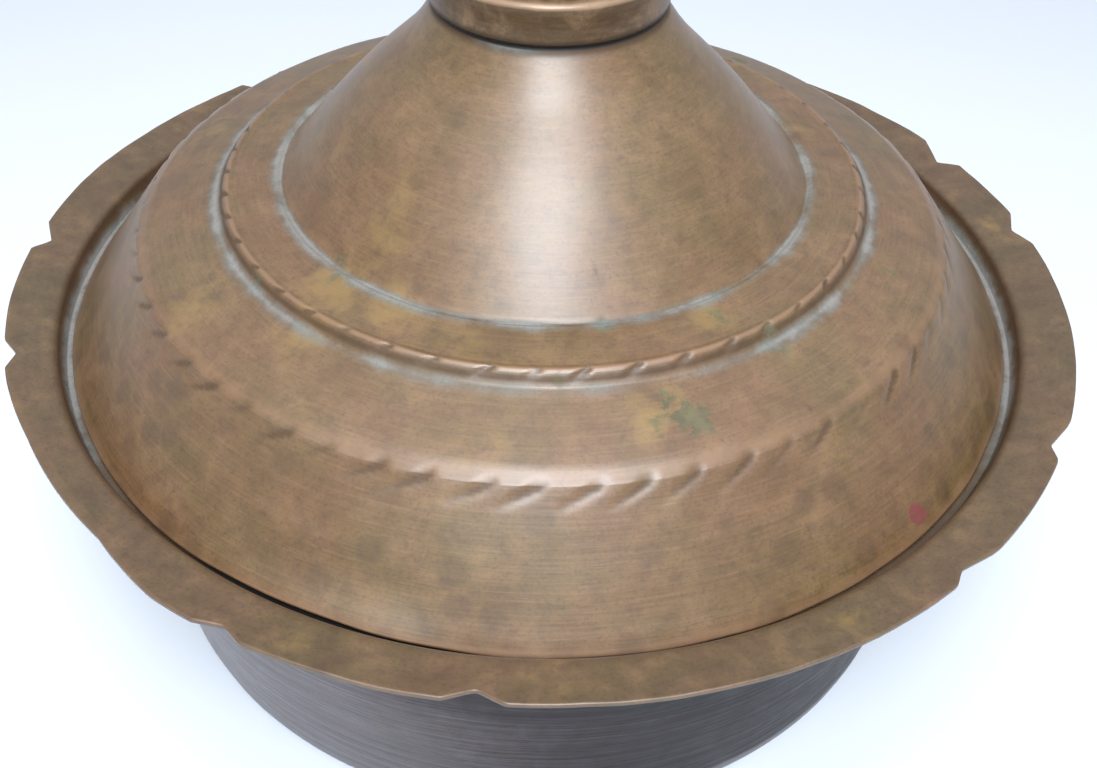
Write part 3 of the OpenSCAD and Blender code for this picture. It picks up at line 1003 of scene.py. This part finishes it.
# %% The copper finish
def copper(name, brown, pink, olive, dark, brush=1.0, crust=1.0, sheen=0.50, metal=0.14,
           film=1.0, struck=False):
    """Aged copper. Brush is how strong the brush lines are, and film how much old wax is left."""
    finish = Finish(name)
    add_noises(finish)
    colour = tarnish(finish, brown, pink, olive, dark, brush)
    colour, grime_and_shade = soil(finish, colour, dark)
    flats = None
    if struck:
        colour, flats = hammer_marks(finish, colour, dark)
    colour, pale, covered = corrode(finish, colour, crust)
    bare = finish.maths("SUBTRACT", 1.0, covered)
    rough = finish.spread(finish.clouds, 0.3, 0.75, sheen, sheen + 0.10)
    rough = finish.plus(finish.plus(rough, grime_and_shade, 0.14), covered, 0.25)
    waxed = finish.spread(grime_and_shade, 0.2, 1.0, film, 0.15 * film)
    finish.show(
        base_color=colour, metallic=finish.maths("MULTIPLY", bare, metal), roughness=rough,
        normal=relief(finish, brush, pale, flats),
        coat_weight=finish.maths("MULTIPLY", bare, waxed), coat_roughness=0.40)
    finish.shader.inputs["IOR"].default_value = 1.5
    finish.shader.inputs["Coat IOR"].default_value = 1.58
    return finish.material


# %% [markdown]
# Each piece has weathered in its own way. The lid is warm and waxed by handling, the flange
# duller, the wall blackened by fire and scoured, and the collar dark with bright edges. Four
# colours, from the brown oxide to the dark of a groove, and a few strengths are all that differs.
# %% Finishes of the pieces
lid_copper = copper(
    "lid_copper_aged", brown=(0.168, 0.081, 0.028, 1), pink=(0.250, 0.133, 0.066, 1),
    olive=(0.148, 0.087, 0.025, 1), dark=(0.066, 0.033, 0.013, 1), struck=True)
flange_copper = copper(
    "flange_copper_aged", brown=(0.118, 0.063, 0.027, 1), pink=(0.20, 0.108, 0.055, 1),
    olive=(0.108, 0.068, 0.026, 1), dark=(0.046, 0.020, 0.009, 1), brush=0.3, film=0.7)
wall_copper = copper(
    "wall_copper_aged", brown=(0.064, 0.036, 0.032, 1), pink=(0.19, 0.135, 0.135, 1),
    olive=(0.052, 0.030, 0.026, 1), dark=(0.012, 0.006, 0.006, 1), brush=2.0, sheen=0.32,
    metal=0.75, film=0.4)
collar_copper = copper(
    "collar_copper_aged", brown=(0.088, 0.042, 0.010, 1), pink=(0.36, 0.23, 0.14, 1),
    olive=(0.074, 0.040, 0.009, 1), dark=(0.040, 0.020, 0.006, 1), brush=0.3, sheen=0.34,
    film=0.15)
knob_copper = copper(
    "knob_copper_aged", brown=(0.20, 0.115, 0.055, 1), pink=(0.36, 0.22, 0.14, 1),
    olive=(0.175, 0.11, 0.048, 1), dark=(0.06, 0.034, 0.018, 1), brush=0.5, sheen=0.40)
brass = copper(
    "brass_aged", brown=(0.30, 0.20, 0.065, 1), pink=(0.48, 0.34, 0.15, 1),
    olive=(0.22, 0.155, 0.055, 1), dark=(0.07, 0.045, 0.02, 1), brush=0.5, crust=0.6,
    sheen=0.38, metal=0.7)
print("copper finishes made:", len(bpy.data.materials))

# %% [markdown]
# A cooking pot of copper is tinned inside: molten tin is wiped over the hot metal, and it sets
# with soft wipe marks that run round the pot. Use dulls it to grey and shows the copper again in
# patches.
# %% The tinned inside
TIN, TIN_DULL, TIN_WIPED = (0.62, 0.61, 0.59, 1), (0.46, 0.45, 0.44, 1), (0.72, 0.71, 0.70, 1)
COPPER_SHOWING = (0.36, 0.23, 0.15, 1)


def tinned(name):
    finish = Finish(name)
    wiped = finish.noise(1.0, 4, 0.6, at=finish.lines_round(1.8, 0.10))
    clouds = finish.noise(22, 4, 0.6, distortion=0.8)
    fine = finish.noise(300, 3, 0.6)
    colour = finish.mix(finish.spread(clouds, 0.35, 0.7), TIN, TIN_DULL)
    colour = finish.mix(finish.spread(wiped, 0.35, 0.7, 0, 0.6), colour, TIN_WIPED)
    showing = finish.spread(finish.plus(clouds, fine, 0.3), 0.78, 0.90, 0, 0.7)
    colour = finish.mix(showing, colour, COPPER_SHOWING)
    normal = finish.bump(clouds, 0.3)
    normal = finish.bump(wiped, 0.12, normal)
    normal = finish.bump(fine, 0.02, normal)
    finish.show(base_color=colour, roughness=finish.spread(wiped, 0.3, 0.7, 0.30, 0.46),
                normal=normal, metallic=0.9)
    return finish.material


tin = tinned("tinned_inside")
print("tinned inside made:", tin.name)

# %% Put the finishes on the pieces
for piece, finishes in ((lid_piece, [lid_copper, tin]),
                        (dish_piece, [flange_copper, wall_copper, flange_copper, tin]),
                        (collar_piece, [collar_copper]), (stem_piece, [brass]),
                        (knob_halves[0], [knob_copper]), (knob_halves[1], [knob_copper]),
                        (tip_piece, [brass]), (nut_piece, [brass])):
    for finish in finishes:
        piece.data.materials.append(finish)
    print(piece.name, "shows", ", ".join(finish.name for finish in finishes))

# %% [markdown]
# The stud is a drawn rod and the washer a stamped disc, and the model's own meshes already have
# their true shapes. They only get a finish: fine lines along the draw, and brown stains.
# %% The stud and the washer keep their engineering meshes
BRASS_CLEAN, BRASS_STAINED = (0.40, 0.29, 0.12, 1), (0.16, 0.11, 0.055, 1)
BRASS_BRIGHT = (0.55, 0.42, 0.20, 1)


def drawn_brass(name):
    finish = Finish(name)
    drawn = finish.noise(260, 4, 0.6, at=finish.vector("MULTIPLY", finish.place, (1, 1, 0.08)))
    stain = finish.noise(90, 4, 0.6)
    colour = finish.mix(finish.spread(stain, 0.38, 0.68), BRASS_CLEAN, BRASS_STAINED)
    colour = finish.mix(finish.spread(drawn, 0.4, 0.7, 0, 0.5), colour, BRASS_BRIGHT)
    finish.show(base_color=colour, roughness=finish.spread(stain, 0.3, 0.7, 0.28, 0.5),
                normal=finish.bump(drawn, 0.03), metallic=0.95)
    return finish.material


fixing_brass = drawn_brass("fixing_brass")
for node in ("stud", "crown_washer"):
    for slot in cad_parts[node].material_slots:
        slot.material = fixing_brass
print("finishes in all:", len(bpy.data.materials))

# %% [markdown]
# The floor is pale and matt, with a trace of blue, and so wide that its edge never shows.
# %% Floor
FLOOR_HALF = 30     # metres from the middle to an edge
floor_mesh = bmesh.new()
bmesh.ops.create_grid(floor_mesh, x_segments=8, y_segments=8, size=FLOOR_HALF)
floor_data = bpy.data.meshes.new("floor")
floor_mesh.to_mesh(floor_data)
floor_mesh.free()
floor = bpy.data.objects.new("floor", floor_data)
bpy.context.scene.collection.objects.link(floor)
paper = Finish("floor_paper")
tone = paper.mix(paper.noise(3, 2, 0.5), (0.76, 0.79, 0.85, 1), (0.80, 0.83, 0.89, 1))
paper.show(base_color=tone, roughness=0.7)
floor_data.materials.append(paper.material)
print("the floor is", 2 * FLOOR_HALF, "m wide")


# %% [markdown]
# A soft box in front of the pot and above it lays a broad band down the front of the cone. A
# weaker one hangs over the pot and lights the terraces, and two faint boxes behind it draw pale
# lines along the edges of the lid. A pale sky fills the shadows.
# %% Soft boxes
def softbox(name, place, target, width, height, brightness, tint):
    """A flat soft light that faces its target. Brightness is what a mirror would show of it."""
    light = bpy.data.lights.new(name, "AREA")
    light.shape = "RECTANGLE"
    light.size, light.size_y = width, height
    light.energy = brightness * math.pi * width * height
    light.color = tint
    stand = bpy.data.objects.new(name, light)
    stand.location = place
    stand.rotation_euler = (Vector(target) - Vector(place)).to_track_quat("-Z", "Y").to_euler()
    bpy.context.scene.collection.objects.link(stand)
    print(name, "gives", round(light.energy, 1), "W")


softbox("box_above", (0.02, -0.72, 0.98), (0, 0, 0.18), 0.50, 0.46, 21.5, (0.84, 0.92, 1.0))
softbox("box_over", (-0.04, -0.22, 1.15), (0, 0, 0.15), 0.45, 0.30, 6.5, (0.92, 0.95, 1.0))
softbox("box_left", (-1.2, 0.7, 1.1), (0, 0, 0.1), 0.9, 1.0, 0.2, (0.95, 0.97, 1.0))
softbox("box_right", (1.1, 0.75, 1.2), (0, 0, 0.1), 0.9, 1.0, 0.2, (0.95, 0.97, 1.0))

# %% The room
ROOM_TINT = (0.90, 0.94, 1.0, 1)
ROOM_FADE = {"From Min": 0.10, "From Max": 1.0, "To Min": 0.42, "To Max": 0.84}
world = bpy.data.worlds.new("pale_room")
world.use_nodes = True
room = world.node_tree
direction = room.nodes.new("ShaderNodeTexCoord").outputs["Generated"]
split = room.nodes.new("ShaderNodeSeparateXYZ")
fade = room.nodes.new("ShaderNodeMapRange")
fade.interpolation_type = "SMOOTHSTEP"
room.links.new(direction, split.inputs[0])
room.links.new(split.outputs["Z"], fade.inputs["Value"])
for key, value in ROOM_FADE.items():
    fade.inputs[key].default_value = value
room.links.new(fade.outputs["Result"], room.nodes["Background"].inputs["Strength"])
room.nodes["Background"].inputs["Color"].default_value = ROOM_TINT
bpy.context.scene.world = world
bpy.context.scene.view_settings.view_transform = "Standard"
print("the room's glow rises from", ROOM_FADE["To Min"], "to", ROOM_FADE["To Max"])
